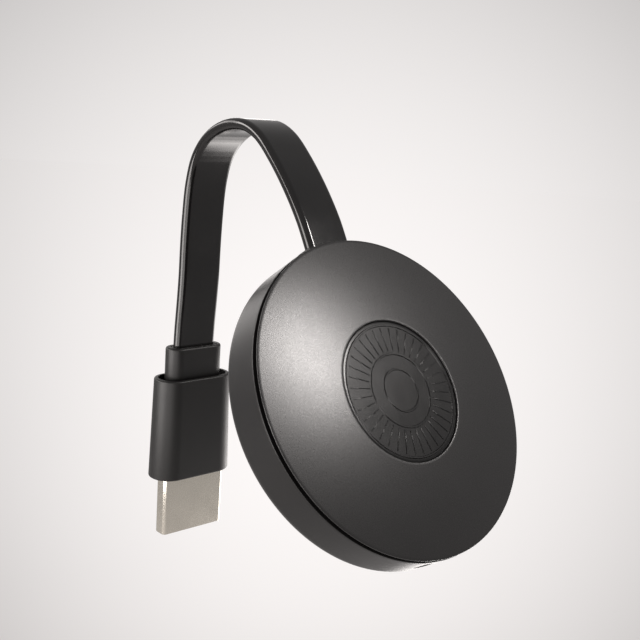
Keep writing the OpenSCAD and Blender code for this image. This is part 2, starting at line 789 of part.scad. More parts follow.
module plug_insulator() {
    color([0.12, 0.12, 0.13]) difference() {
        translate([0, 0, block_back]) linear_extrude(plug_len + plug_root - block_back)
            plug_outline(-plug_wall - fit_gap);
        translate([-slot_t/2, -slot_w/2, block_back - cut]) cube([slot_t, slot_w, slot_len + cut]);
        contact_bars(slide_gap/2);
    }
}

module plug_contacts() {
    color([0.85, 0.68, 0.3]) contact_bars(0);
}

front_cover();
front_inlay();
rear_shell();
exit_grommet();
reset_button();
light_pipe();
main_board();
board_screws();
processor_chip();
memory_chip();
storage_chip();
power_chip();
radio_module();
power_coils();
board_capacitors();
clock_crystal();
shield_frame();
shield_lid();
thermal_pads();
heat_spreader();
usb_shell();
usb_tongue();
usb_contacts();
switch_body();
switch_plunger();
status_led();
antenna_left();
antenna_right();
cable_tail();
cable_header();
cable_clamp();
clamp_screws();
flat_cable();
plug_collar();
cable_root();
plug_overmold();
plug_board();
plug_shell();
plug_insulator();
plug_contacts();
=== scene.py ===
"""Round wireless display dongle on a short flat cable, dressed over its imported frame."""
import json
import math

import bmesh
import bpy
from bpy.props import FloatProperty, FloatVectorProperty, IntProperty, PointerProperty
from mathutils import Matrix, Vector


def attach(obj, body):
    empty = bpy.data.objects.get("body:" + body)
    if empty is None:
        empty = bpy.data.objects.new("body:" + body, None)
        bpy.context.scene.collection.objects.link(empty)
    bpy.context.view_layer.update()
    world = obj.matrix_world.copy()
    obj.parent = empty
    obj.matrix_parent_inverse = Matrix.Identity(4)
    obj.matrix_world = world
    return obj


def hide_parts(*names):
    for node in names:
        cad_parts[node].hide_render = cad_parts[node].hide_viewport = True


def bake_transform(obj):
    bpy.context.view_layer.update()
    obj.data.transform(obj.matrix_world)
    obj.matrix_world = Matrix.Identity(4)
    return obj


bl_info = {
    "name": "Wireless display dongle",
    "version": (1, 0, 0),
    "blender": (4, 5, 0),
    "location": "3D View > Sidebar > Dongle",
    "description": "Builds the looks of a round display dongle over its packed frame",
    "category": "Object",
}

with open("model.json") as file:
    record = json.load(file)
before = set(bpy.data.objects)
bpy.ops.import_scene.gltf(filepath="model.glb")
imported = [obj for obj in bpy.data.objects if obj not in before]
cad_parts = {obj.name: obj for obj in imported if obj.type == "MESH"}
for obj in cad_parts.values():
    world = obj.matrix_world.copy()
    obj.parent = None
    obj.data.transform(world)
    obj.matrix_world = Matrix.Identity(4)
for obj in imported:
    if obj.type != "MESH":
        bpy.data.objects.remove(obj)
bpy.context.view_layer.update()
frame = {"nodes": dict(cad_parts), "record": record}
NODES = frame["nodes"]
MM = 0.001
TURN = 2 * math.pi
# How close counts as the same place, and how far a cut runs past what it cuts, millimetres
NEAR, OVERRUN = 1e-3, 1.5
# Steps round the small turned pieces and round the posts
SMALL_STEPS, POST_STEPS = 48, 32

# The body's own frame: X runs from the cable's exit to the power socket, Z out of the domed front
REAR_PAD = next(m for m in frame["record"]["mounts"] if m["name"] == "rear_pad")
FRONT = -Vector(REAR_PAD["axis"]).normalized()
DOWN_AXIS = Vector((FRONT.z, 0, -FRONT.x))
REAR_Z = -12.0
HEAD_PLACE = Vector(REAR_PAD["pos_m"]) - REAR_Z * MM * FRONT
HEAD = Matrix.Translation(HEAD_PLACE) @ Matrix(
    ((DOWN_AXIS.x, 0, FRONT.x, 0), (0, 1, 0, 0), (DOWN_AXIS.z, 0, FRONT.z, 0), (0, 0, 0, 1)))
UPRIGHT = Matrix.Identity(4)

# Radii of the body, millimetres: the side wall outside and inside, and the cover's skirt likewise
SIDE_R, INNER_R = 26.1, 24.6
SKIRT_R, SKIRT_IN_R = 25.1, 24.1
# Heights in the body's own frame, millimetres: the front rim's top and foot, the cover's ceiling and the
# end of its skirt, then the side wall's top and end, then the recess and the plate in it
RIM_TOP, RIM_LOW, CEILING, SKIRT_END = 0.1, -0.06, -0.9, -1.7
WALL_TOP, WALL_END = -0.82, -6.9
RECESS_Z, INLAY_TOP = 0.45, 1.02
# The rear, millimetres: the radii of its round edge and of its flat middle, its rise from there, its wall
EDGE_R, PAD_R, REAR_RISE, SHELL_WALL = 1.8, 9.0, 3.3, 1.5
EDGE_MID_R = SIDE_R - EDGE_R
# Heights of the board's underside and of the cable inside the body, places of the cable's sleeve and
# clamp along X, and the sleeve's two walls together
BOARD_LOW, TAIL_Z, SLEEVE_X, CLAMP_X, SLEEVE_WALLS = -6.0, -4.2, -24.9, -21.27, 1.8
# The button and the light: their height, their directions, the radii of cap and rod, and the cap's gap
CONTROL_Z, BUTTON_TURN, LIGHT_TURN = -3.68, math.radians(28), math.radians(47)
CAP_R, ROD_R, CAP_GAP = 1.2, 0.9, 0.08
# The shoulder that holds each of them behind the wall lies between these distances from the body's axis
SHOULDER_IN, SHOULDER_OUT = 23.95, 24.45
# Gap between pieces that fit each other, and the strip beside a rounding that keeps a flat evenly shaded
FIT, EDGE_HOLD = 0.05, 0.15
# The plug, millimetres: its shell's outer width and thickness, its slanted corner and its inner end
PLUG_W, PLUG_T, PLUG_SLANT, SHELL_END = 13.9, 4.45, 1.75, 15.5

# Route of the free cable in the plane Y = 0, metres, from the collar's top face to the sleeve
COLLAR_TOP = 0.0374
ROUTE = [(0, 0), (0.0002, 0.004), (0.0006, 0.009), (0.0009, 0.014), (0.001, 0.019), (0.0012, 0.024),
         (0.0016, 0.0293), (0.0023, 0.033), (0.0035, 0.0363), (0.0058, 0.0393), (0.0092, 0.0416),
         (0.0134, 0.0429), (0.0179, 0.0429), (0.0218, 0.0413), (0.0251, 0.0386), (0.0284, 0.0353),
         (0.0315, 0.0317), (0.0343, 0.0279), (0.0366, 0.024)]


class DONGLE_body_sizes(bpy.types.PropertyGroup):
    """Sizes and colours of the round body"""
    body_r: FloatProperty(name="Front rim radius", description="Radius of the domed front at its rim",
                          default=0.026, unit="LENGTH")
    dome_rise: FloatProperty(name="Dome rise", description="Rise of the dome above its rim",
                             default=0.0014, unit="LENGTH")
    recess_r: FloatProperty(name="Recess radius", description="Radius of the round recess in the dome",
                            default=0.0115, unit="LENGTH")
    segments: IntProperty(name="Round steps", description="Steps round each turned shape",
                          default=192, min=48, max=384)
    inlay_ribs: IntProperty(name="Inlay ribs", description="Fine ribs round the plate in the recess",
                            default=36, min=12, max=72)
    cover_colour: FloatVectorProperty(name="Cover colour", description="Plastic of the domed front",
                                      default=(0.0075, 0.007, 0.007), size=3, subtype="COLOR")
    shell_colour: FloatVectorProperty(name="Shell colour", description="Plastic of the rear shell",
                                      default=(0.004, 0.0037, 0.0037), size=3, subtype="COLOR")
    inlay_colour: FloatVectorProperty(name="Inlay colour", description="Plastic of the plate in the recess",
                                      default=(0.003, 0.0028, 0.0028), size=3, subtype="COLOR")


class DONGLE_cable_sizes(bpy.types.PropertyGroup):
    """Sizes and colours of the flat cable and its plug"""
    cable_w: FloatProperty(name="Cable width", description="Width of the flat cable",
                           default=0.009, unit="LENGTH")
    cable_t: FloatProperty(name="Cable thickness", description="Thickness of the flat cable",
                           default=0.002, unit="LENGTH")
    grip_w: FloatProperty(name="Grip width", description="Width of the moulded grip",
                          default=0.0174, unit="LENGTH")
    grip_t: FloatProperty(name="Grip thickness", description="Thickness of the moulded grip",
                          default=0.0078, unit="LENGTH")
    jacket_colour: FloatVectorProperty(name="Jacket colour", description="Jacket of the flat cable",
                                       default=(0.0045, 0.0042, 0.0042), size=3, subtype="COLOR")
    grip_colour: FloatVectorProperty(name="Grip colour", description="Plastic of the grip and collar",
                                     default=(0.004, 0.0038, 0.0037), size=3, subtype="COLOR")
    metal_colour: FloatVectorProperty(name="Plug metal colour", description="Nickel of the plug's shell",
                                      default=(0.6, 0.565, 0.5), size=3, subtype="COLOR")


# Meshes
def finished(name, bm, place, body, replaced, material, sharp=32.0):
    """Puts a bmesh drawn in millimetres at its place in the frame and lets it ride on its body."""
    bmesh.ops.transform(bm, matrix=place @ Matrix.Scale(MM, 4), verts=bm.verts)
    mesh = bpy.data.meshes.new(name)
    bm.to_mesh(mesh)
    bm.free()
    mesh.shade_smooth()
    mesh.set_sharp_from_angle(angle=math.radians(sharp))
    piece = bpy.data.objects.new(name, mesh)
    bpy.context.scene.collection.objects.link(piece)
    mesh.materials.append(material)
    if body:
        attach(piece, body)
    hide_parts(*replaced)
    return piece


def bevelled(bm, edges, offset, segments=3, clamp=False):
    """Rounds these edges of a bmesh."""
    bmesh.ops.bevel(bm, geom=edges, offset=offset, offset_type="OFFSET", segments=segments,
                    affect="EDGES", profile=0.5, material=-1, clamp_overlap=clamp)


def rotated(bm, angle, axis, verts=None):
    """Turns a bmesh, or some of its vertices, round an axis through the origin."""
    bmesh.ops.rotate(bm, cent=(0, 0, 0), matrix=Matrix.Rotation(angle, 3, axis), verts=verts or bm.verts)
    return bm


def moved(bm, turn=0.0, x=0.0, z=0.0):
    """Shifts a bmesh along X and Z and then turns it round Z."""
    bmesh.ops.translate(bm, vec=(x, 0, z), verts=bm.verts)
    return rotated(bm, turn, "Z")


def turned(points, segments, along_x=False):
    """Spins an outline of (radius, height) points, which starts and ends on the axis or closes."""
    bm = bmesh.new()
    verts = [bm.verts.new((r, 0, z)) for r, z in points]
    edges = [bm.edges.new(pair) for pair in zip(verts, verts[1:])]
    if points[0][0] > 0:
        edges.append(bm.edges.new((verts[-1], verts[0])))
    bmesh.ops.spin(bm, geom=verts + edges, cent=(0, 0, 0), axis=(0, 0, 1), angle=TURN,
                   steps=segments, use_merge=True, use_duplicate=False)
    bmesh.ops.remove_doubles(bm, verts=bm.verts, dist=NEAR)
    bmesh.ops.recalc_face_normals(bm, faces=bm.faces)
    return rotated(bm, math.pi / 2, "Y") if along_x else bm


def rounded_ring(bm, radius, height, offset, segments=3):
    """Bevels the edge loop of a turned shape that lies at a radius and a height."""
    edges = [e for e in bm.edges if all(
        abs(math.hypot(v.co.x, v.co.y) - radius) < NEAR and abs(v.co.z - height) < NEAR for v in e.verts)]
    bevelled(bm, edges, offset, segments, clamp=True)


def block(size, centre, edge=0.0, segments=3, turn=0.0):
    """A block with its centre at a place, turned round Z, its edges rounded."""
    bm = bmesh.new()
    bmesh.ops.create_cube(bm, size=1.0)
    bmesh.ops.scale(bm, vec=size, verts=bm.verts)
    if edge:
        bevelled(bm, list(bm.edges), edge, segments)
    bmesh.ops.translate(bm, vec=centre, verts=bm.verts)
    return rotated(bm, turn, "Z")


def upright_block(wide, deep, low, high):
    """A block on the plug's axis from one height to another."""
    return block((wide, deep, high - low), (0, 0, (low + high) / 2))


def round_bar(radius, length, steps):
    """A round bar along Z with its middle at the origin."""
    bm = bmesh.new()
    bmesh.ops.create_cone(bm, cap_ends=True, segments=steps, radius1=radius, radius2=radius, depth=length)
    return bm


def combined(bm, tools, operation):
    """The bmesh joined with, or cut by, each tool bmesh, through an applied Boolean."""
    def held(source, name):
        mesh = bpy.data.meshes.new(name)
        source.to_mesh(mesh)
        source.free()
        thing = bpy.data.objects.new(name, mesh)
        bpy.context.scene.collection.objects.link(thing)
        return thing

    base = held(bm, "work")
    others = [held(tool, "tool") for tool in tools]
    for other in others:
        change = base.modifiers.new("change", "BOOLEAN")
        change.operation, change.solver, change.object = operation, "EXACT", other
    bpy.context.view_layer.update()
    result = bmesh.new()
    result.from_object(base, bpy.context.evaluated_depsgraph_get())
    for thing in [base, *others]:
        mesh = thing.data
        bpy.data.objects.remove(thing)
        bpy.data.meshes.remove(mesh)
    return result


def outline_block(points, low, high):
    """A prism over an outline of (x, y) points, from one height to another."""
    bm = bmesh.new()
    face = bm.faces.new([bm.verts.new((x, y, low)) for x, y in points])
    made = bmesh.ops.extrude_face_region(bm, geom=[face])
    bmesh.ops.translate(bm, vec=(0, 0, high - low),
                        verts=[v for v in made["geom"] if isinstance(v, bmesh.types.BMVert)])
    bmesh.ops.recalc_face_normals(bm, faces=bm.faces)
    return bm


def rounded_outline(corners, radii, steps):
    """Outline points of a polygon whose corners are rounded, each with its own radius, or 0 for none."""
    points = []
    count = len(corners)
    for i, r in enumerate(radii):
        if r <= 0:
            points.append(corners[i])
            continue
        here = Vector(corners[i])
        before = (Vector(corners[i - 1]) - here).normalized()
        after = (Vector(corners[(i + 1) % count]) - here).normalized()
        half = before.angle(after) / 2
        centre = here + (before + after).normalized() * (r / math.sin(half))
        first = here + before * (r / math.tan(half)) - centre
        last = here + after * (r / math.tan(half)) - centre
        sweep = first.angle_signed(last)
        for k in range(steps + 1):
            points.append(tuple(centre + Matrix.Rotation(-sweep * k / steps, 2) @ first))
    return points


# Materials
def new_node(tree, kind, **values):
    """Adds a node to a tree and sets its options."""
    made = tree.nodes.new(kind)
    for key, value in values.items():
        setattr(made, key, value)
    return made


def mapped(tree, value, start, end, low, high):
    """Maps a socket's value from one range to another, held at both ends."""
    made = new_node(tree, "ShaderNodeMapRange")
    for key, number in (("From Min", start), ("From Max", end), ("To Min", low), ("To Max", high)):
        made.inputs[key].default_value = number
    tree.links.new(value, made.inputs["Value"])
    return made.outputs["Result"]


class Nodes:
    """Builds one node material step by step."""

    def __init__(self, name, colour, roughness, metallic=0.0, specular=0.5):
        self.material = bpy.data.materials.new(name)
        self.material.use_nodes = True
        self.tree = self.material.node_tree
        self.shader = next(n for n in self.tree.nodes if n.type == "BSDF_PRINCIPLED")
        self.shader.inputs["Metallic"].default_value = metallic
        self.shader.inputs["Specular IOR Level"].default_value = specular
        self.shader.inputs["Roughness"].default_value = roughness
        self.shader.inputs["Base Color"].default_value = (*colour, 1)
        self.place = self.node("ShaderNodeTexCoord").outputs["Object"]
        self.height = None

    def node(self, kind, **values):
        return new_node(self.tree, kind, **values)

    def link(self, a, b):
        self.tree.links.new(a, b)

    def stretched(self, scale, turn=(0, 0, 0), vector=None):
        """The place of the pattern, stretched and turned."""
        mapping = self.node("ShaderNodeMapping")
        mapping.inputs["Scale"].default_value = scale
        mapping.inputs["Rotation"].default_value = turn
        self.link(vector or self.place, mapping.inputs["Vector"])
        return mapping.outputs["Vector"]

    def noise(self, scale, detail=4.0, rough=0.55, vector=None):
        made = self.node("ShaderNodeTexNoise")
        made.inputs["Scale"].default_value = scale
        made.inputs["Detail"].default_value = detail
        made.inputs["Roughness"].default_value = rough
        self.link(vector or self.place, made.inputs["Vector"])
        return made.outputs["Fac"]

    def cells(self, scale, feature="F1", vector=None):
        made = self.node("ShaderNodeTexVoronoi", feature=feature)
        made.inputs["Scale"].default_value = scale
        self.link(vector or self.place, made.inputs["Vector"])
        return made.outputs["Distance"]

    def span(self, value, low, high, start=0.0, end=1.0):
        return mapped(self.tree, value, start, end, low, high)

    def math(self, operation, a, b):
        made = self.node("ShaderNodeMath", operation=operation)
        for socket, value in zip(made.inputs, (a, b)):
            if isinstance(value, (int, float)):
                socket.default_value = value
            else:
                self.link(value, socket)
        return made.outputs["Value"]

    def tint(self, factor, other):
        """Mixes the base colour so far towards another colour by a factor socket."""
        mix = self.node("ShaderNodeMix", data_type="RGBA")
        current = self.shader.inputs["Base Color"]
        if current.is_linked:
            self.link(current.links[0].from_socket, mix.inputs["A"])
        else:
            mix.inputs["A"].default_value = current.default_value
        mix.inputs["B"].default_value = (*other, 1)
        self.link(factor, mix.inputs["Factor"])
        self.link(mix.outputs["Result"], current)
        return self

    def rough(self, value):
        self.link(value, self.shader.inputs["Roughness"])
        return self

    def bump(self, value, strength, distance):
        """Adds a relief over those that the material has so far."""
        made = self.node("ShaderNodeBump")
        made.inputs["Strength"].default_value = strength
        made.inputs["Distance"].default_value = distance
        self.link(value, made.inputs["Height"])
        if self.height:
            self.link(self.height, made.inputs["Normal"])
        self.height = made.outputs["Normal"]
        self.link(self.height, self.shader.inputs["Normal"])
        return self


def plastic(name, colour, roughness=0.4, grain=9000.0, grain_depth=1e-5, specular=0.5, worn=0.02):
    """Moulded plastic: spark-eroded grain, faint flow marks, handling marks and softer gloss there."""
    m = Nodes(name, colour, roughness, specular=specular)
    flow = m.noise(70.0, 3.0)
    smudge = m.noise(240.0, 5.0, 0.65)
    fine = m.noise(grain, 3.0, 0.6)
    pale = [min(1.0, c * 1.5 + 0.001) for c in colour]
    dark = [c * 0.6 for c in colour]
    m.tint(m.span(flow, 0.0, 0.5, 0.35, 0.75), pale)
    m.tint(m.span(fine, 0.0, 0.5, 0.45, 0.7), dark)
    m.rough(m.math("ADD", m.span(smudge, roughness - worn, roughness + worn, 0.3, 0.7),
                   m.span(fine, -0.03, 0.03, 0.3, 0.7)))
    m.bump(fine, 0.3, grain_depth)
    return m.material


def metal(name, colour, roughness=0.25, along=(1, 1, 30), worn=0.06, marks=0.35):
    """Rolled or plated metal: drawn lines along one way, faint stains and small scratches."""
    m = Nodes(name, colour, roughness, metallic=1.0)
    lines = m.noise(900.0, 3.0, 0.7, m.stretched(along))
    stain = m.noise(160.0, 4.0)
    nick = m.cells(700.0, "DISTANCE_TO_EDGE", m.stretched((1, 3, 1), (0.4, 0.2, 0.9)))
    m.tint(m.span(stain, 0.0, marks, 0.45, 0.75), [c * 0.72 for c in colour])
    m.rough(m.math("ADD", m.span(lines, roughness - worn, roughness + worn, 0.3, 0.7),
                   m.span(nick, 0.08, 0.0, 0.0, 0.03)))
    m.bump(lines, 0.12, 3e-6)
    return m.material


def ribbon_jacket(name, colour):
    """Extruded cable jacket: lines along the cable, a soft bloom and finer grain across."""
    m = Nodes(name, colour, 0.11, specular=0.36)
    along = m.node("ShaderNodeUVMap").outputs["UV"]
    draw = m.noise(6.0, 3.0, 0.6, m.stretched((3.0, 20.0, 1.0), vector=along))
    bloom = m.noise(150.0, 4.0)
    m.tint(m.span(bloom, 0.0, 0.5, 0.4, 0.75), [c * 1.6 + 0.001 for c in colour])
    m.rough(m.math("ADD", m.span(bloom, 0.10, 0.13, 0.3, 0.7), m.span(draw, -0.02, 0.02, 0.3, 0.7)))
    m.bump(draw, 0.1, 1e-6).bump(m.noise(9000.0, 2.0, 0.5), 0.3, 1e-5)
    return m.material


# Stage
EYE = Vector((0.15614, -0.11069, 0.08326))
VIEW_AZIMUTH, VIEW_ELEVATION, VIEW_ROLL = (math.radians(a) for a in (47.37, 11.69, 3.81))
LENS, SENSOR = 56.25, 36.0
NEAREST, FARTHEST = 0.005, 20.0
FLOOR_Z, FLOOR_R, FLOOR_STEPS = -0.30, 6.0, 96
ARCH_PLACE = Vector((0.009, 0, 0.079))
# Each lamp: name, what it aims at, the azimuth and elevation that it stands at from there in degrees, its
# distance, width and height in metres, and its power in watts
LAMPS = [
    ("lamp_key", HEAD_PLACE, 44.6, 41.8, 0.55, 0.06, 0.13, 1.9),
    ("lamp_left", HEAD_PLACE, -98.0, 0.0, 0.60, 0.45, 0.42, 6.5),
    ("lamp_fill", HEAD_PLACE, -50.0, -8.0, 0.60, 0.42, 0.30, 1.8),
    ("lamp_edge", HEAD_PLACE, -134.0, 18.0, 0.60, 0.24, 0.16, 1.4),
    ("lamp_rim", HEAD_PLACE, 163.0, 6.0, 0.60, 0.46, 0.20, 0.42),
    ("lamp_arch", ARCH_PLACE, 99.0, -40.0, 0.40, 0.15, 0.22, 0.28),
    ("lamp_arch_mid", ARCH_PLACE, 96.0, -37.0, 0.40, 0.25, 0.25, 0.40),
    ("lamp_arch_wide", ARCH_PLACE, 94.0, -34.0, 0.40, 0.40, 0.26, 0.48),
    ("lamp_ridge", ARCH_PLACE, -157.0, 20.0, 0.60, 0.28, 0.16, 0.6),
]
# The pool of light on the backdrop: its middle as seen from the dongle, how bright it is there and far
# off, and the cosine of the angle at which it ends
POOL = Vector((-0.714, 0.657, -0.24)).normalized()
POOL_BRIGHT, POOL_DIM, POOL_EDGE = 0.985, 0.5, 0.869
WARM, LAMP_TINT = (1.0, 0.968, 0.958), (1.0, 0.955, 0.93)
FLOOR_TONE, FLOOR_FLECK = (0.80, 0.775, 0.765), (0.7, 0.69, 0.68)
FLOOR_GLOW, SKY_LIGHT = 0.75, 0.25


def view_axes():
    """The camera's right, up and back directions."""
    az, el, roll = VIEW_AZIMUTH, VIEW_ELEVATION, VIEW_ROLL
    back = Vector((math.sin(az) * math.cos(el), -math.cos(az) * math.cos(el), math.sin(el)))
    level = Vector((math.cos(az), math.sin(az), 0))
    rise = back.cross(level)
    right = math.cos(roll) * level + math.sin(roll) * rise
    up = math.cos(roll) * rise - math.sin(roll) * level
    return right, up, back


def add_camera(scene):
    """The camera at the photograph's place, angle and lens."""
    right, up, back = view_axes()
    camera = bpy.data.objects.new("camera", bpy.data.cameras.new("camera"))
    camera.data.lens, camera.data.sensor_width = LENS, SENSOR
    camera.data.clip_start, camera.data.clip_end = NEAREST, FARTHEST
    camera.matrix_world = Matrix((
        (right.x, up.x, back.x, EYE.x), (right.y, up.y, back.y, EYE.y),
        (right.z, up.z, back.z, EYE.z), (0, 0, 0, 1)))
    scene.collection.objects.link(camera)
    scene.camera = camera


def add_floor(scene):
    """The pale floor, far enough below the dongle to leave it floating."""
    bm = bmesh.new()
    bmesh.ops.create_circle(bm, cap_ends=True, segments=FLOOR_STEPS, radius=FLOOR_R)
    bmesh.ops.translate(bm, vec=(0, 0, FLOOR_Z), verts=bm.verts)
    mesh = bpy.data.meshes.new("floor")
    bm.to_mesh(mesh)
    bm.free()
    floor = bpy.data.objects.new("floor", mesh)
    scene.collection.objects.link(floor)
    mesh.materials.append(pale_surface())


def add_backdrop(scene):
    """The world: an even soft light for the surfaces, and the pool of light for what sees it directly."""
    world = bpy.data.worlds.new("studio")
    world.use_nodes = True
    scene.world = world
    tree = world.node_tree
    tree.nodes.clear()
    out = new_node(tree, "ShaderNodeOutputWorld")
    mix = new_node(tree, "ShaderNodeMixShader")
    lit, seen = new_node(tree, "ShaderNodeBackground"), new_node(tree, "ShaderNodeBackground")
    lit.inputs["Color"].default_value = (*WARM, 1)
    lit.inputs["Strength"].default_value = SKY_LIGHT
    seen.inputs["Color"].default_value = (*WARM, 1)
    direction = new_node(tree, "ShaderNodeTexCoord").outputs["Generated"]
    tree.links.new(pool_light(tree, direction), seen.inputs["Strength"])
    tree.links.new(seen_directly(tree), mix.inputs["Fac"])
    tree.links.new(lit.outputs[0], mix.inputs[1])
    tree.links.new(seen.outputs[0], mix.inputs[2])
    tree.links.new(mix.outputs[0], out.inputs["Surface"])


def add_lamps(scene):
    """The soft lamps, each turned towards what it aims at."""
    for name, aim, azimuth, elevation, far, wide, tall, power in LAMPS:
        az, el = math.radians(azimuth), math.radians(elevation)
        away = Vector((math.cos(az) * math.cos(el), math.sin(az) * math.cos(el), math.sin(el)))
        lamp = bpy.data.lights.new(name, "AREA")
        lamp.shape, lamp.size, lamp.size_y = "RECTANGLE", wide, tall
        lamp.energy, lamp.color = power, LAMP_TINT
        holder = bpy.data.objects.new(name, lamp)
        holder.location = aim + far * away
        holder.rotation_euler = away.to_track_quat("Z", "Y").to_euler()
        holder.visible_camera = False
        scene.collection.objects.link(holder)


class DONGLE_OT_stage(bpy.types.Operator):
    """Adds the camera, the pale floor, the backdrop's light and the soft lamps"""
    bl_idname = "dongle.stage"
    bl_label = "Stage"

    def execute(self, context):
        scene = context.scene
        scene.view_settings.view_transform = "Standard"
        add_camera(scene)
        add_floor(scene)
        add_backdrop(scene)
        add_lamps(scene)
        return {"FINISHED"}


def pool_light(tree, direction):
    """Brightness of the backdrop in a direction from the dongle: brightest in the pool of light."""
    unit = new_node(tree, "ShaderNodeVectorMath", operation="NORMALIZE")
    along = new_node(tree, "ShaderNodeVectorMath", operation="DOT_PRODUCT")
    along.inputs[1].default_value = POOL
    tree.links.new(direction, unit.inputs[0])
    tree.links.new(unit.outputs["Vector"], along.inputs[0])
    return mapped(tree, along.outputs["Value"], POOL_EDGE, 1.0, POOL_DIM, POOL_BRIGHT)


def seen_directly(tree):
    """1 for rays from the camera and for those that a gloss or a clear piece sends on."""
    path = new_node(tree, "ShaderNodeLightPath")
    total = path.outputs["Is Camera Ray"]
    for ray in ("Is Glossy Ray", "Is Transmission Ray"):
        add = new_node(tree, "ShaderNodeMath", operation="ADD", use_clamp=True)
        tree.links.new(total, add.inputs[0])
        tree.links.new(path.outputs[ray], add.inputs[1])
        total = add.outputs[0]
    return total


def pale_surface():
    """Pale paper floor: it takes light and shadow, and glows with the backdrop's pool of light."""
    m = Nodes("pale_floor", FLOOR_TONE, 0.8, specular=0.1)
    from_head = m.node("ShaderNodeVectorMath", operation="SUBTRACT")
    m.link(m.place, from_head.inputs[0])
    from_head.inputs[1].default_value = HEAD_PLACE
    sky_share = (1 - FLOOR_GLOW) * FLOOR_TONE[0] * SKY_LIGHT
    glow = m.node("ShaderNodeEmission")
    glow.inputs["Color"].default_value = (*WARM, 1)
    pool = pool_light(m.tree, from_head.outputs["Vector"])
    m.link(m.math("DIVIDE", m.math("SUBTRACT", pool, sky_share), FLOOR_GLOW), glow.inputs["Strength"])
    fleck = m.noise(900.0, 3.0)
    m.tint(m.span(fleck, 0.0, 0.04, 0.4, 0.7), FLOOR_FLECK)
    mix = m.node("ShaderNodeMixShader")
    m.link(m.math("MULTIPLY", seen_directly(m.tree), FLOOR_GLOW), mix.inputs["Fac"])
    m.link(m.shader.outputs[0], mix.inputs[1])
    m.link(glow.outputs[0], mix.inputs[2])
    out = next(n for n in m.tree.nodes if n.type == "OUTPUT_MATERIAL")
    m.link(mix.outputs[0], out.inputs["Surface"])
    return m.material


# Cable and plug
def finer(path, rounds):
    """Adds a point between each two of a route, on a smooth curve, a number of times over."""
    for _ in range(rounds):
        ends = [path[0], *path, path[-1]]
        closer = []
        for before, here, there, after in zip(ends, ends[1:], ends[2:], ends[3:]):
            middle = tuple((9 * b + 9 * c - a - d) / 16 for a, b, c, d in zip(before, here, there, after))
            closer += [here, middle]
        path = [*closer, path[-1]]
    return path


CABLE_PATH = [Vector((x, 0, z + COLLAR_TOP)) for x, z in finer(ROUTE, 3)]


def ribbon(path, section):
    """Sweeps a section of (across, out) points along a route, square to the collar and to the sleeve."""
    ways = [(after - before).normalized() for before, after in zip(path, path[2:])]
    ways = [Vector((0, 0, 1)), *ways, DOWN_AXIS]
    bm = bmesh.new()
    verts = [bm.verts.new(path[0] + Vector((-out, across, 0))) for across, out in section]
    ring = [bm.edges.new((a, b)) for a, b in zip(verts, verts[1:] + verts[:1])]
    bm.faces.new(verts)
    for here, there, way, ahead in zip(path, path[1:], ways, ways[1:]):
        made = bmesh.ops.extrude_edge_only(bm, edges=ring)["geom"]
        fresh = [g for g in made if isinstance(g, bmesh.types.BMVert)]
        ring = [g for g in made if isinstance(g, bmesh.types.BMEdge)]
        swing = Matrix.Rotation(-ahead.xz.angle_signed(way.xz), 3, "Y")
        bmesh.ops.rotate(bm, cent=here, matrix=swing, verts=fresh)
        bmesh.ops.translate(bm, vec=there - here, verts=fresh)
    bmesh.ops.contextual_create(bm, geom=ring)
    bmesh.ops.recalc_face_normals(bm, faces=bm.faces)
    # Points and faces are put in order along a slanted line, so that the mesh is the same each run
    slant = Vector((1.0, 0.37, 1.7))
    bm.verts.sort(key=lambda v: v.co.dot(slant))
    bm.faces.sort(key=lambda f: f.calc_center_median().dot(slant))
    return bm


def lay_uv(bm, path):
    """UV map of a ribbon: U counts tenths of a metre along its route, V hundredths across it."""
    u_length, v_length = 0.1, 0.01
    uv = bm.loops.layers.uv.new("UVMap")
    travelled = [0.0]
    for a, b in zip(path, path[1:]):
        travelled.append(travelled[-1] + (b - a).length)
    spots = {}
    for vert in bm.verts:
        middle = Vector((vert.co.x, 0, vert.co.z))
        nearest = min(range(len(path)), key=lambda k: (path[k] - middle).length)
        spots[vert] = (travelled[nearest] / u_length, 0.5 + vert.co.y / v_length)
    for face in bm.faces:
        for loop in face.loops:
            loop[uv].uv = spots[loop.vert]


class DONGLE_OT_cable(bpy.types.Operator):
    """Adds the flat cable, which runs in an arch from the plug's collar to the body's sleeve"""
    bl_idname = "dongle.cable"
    bl_label = "Flat cable"

    def execute(self, context):
        sizes = context.scene.dongle_cable
        half_w, half_t = sizes.cable_w / 2, sizes.cable_t / 2
        round_share, round_steps = 0.96, 8
        round_r = round_share * half_t
        flat = half_w - round_r - EDGE_HOLD * MM
        corners = [(half_w, half_t), (flat, half_t), (-flat, half_t), (-half_w, half_t),
                   (-half_w, -half_t), (-flat, -half_t), (flat, -half_t), (half_w, -half_t)]
        bm = ribbon(CABLE_PATH, rounded_outline(corners, [round_r, 0, 0, round_r] * 2, round_steps))
        lay_uv(bm, CABLE_PATH)
        bmesh.ops.scale(bm, vec=(1 / MM, 1 / MM, 1 / MM), verts=bm.verts)
        cable = finished("cable_ribbon", bm, UPRIGHT, None, ["flat_cable"],
                         ribbon_jacket("flat_jacket", sizes.jacket_colour))
        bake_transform(cable)
        return {"FINISHED"}


def pill(width, thick, steps=24):
    """Outline of a bar with half-round ends, its long way along Y."""
    run, r = (width - thick) / 2, thick / 2
    points = []
    for side in (1, -1):
        points.append((side * r, side * (run - EDGE_HOLD)))
        for k in range(steps + 1):
            a = math.pi * k / steps
            points.append((side * r * math.cos(a), side * (run + r * math.sin(a))))
        points.append((-side * r, side * (run - EDGE_HOLD)))
    return points


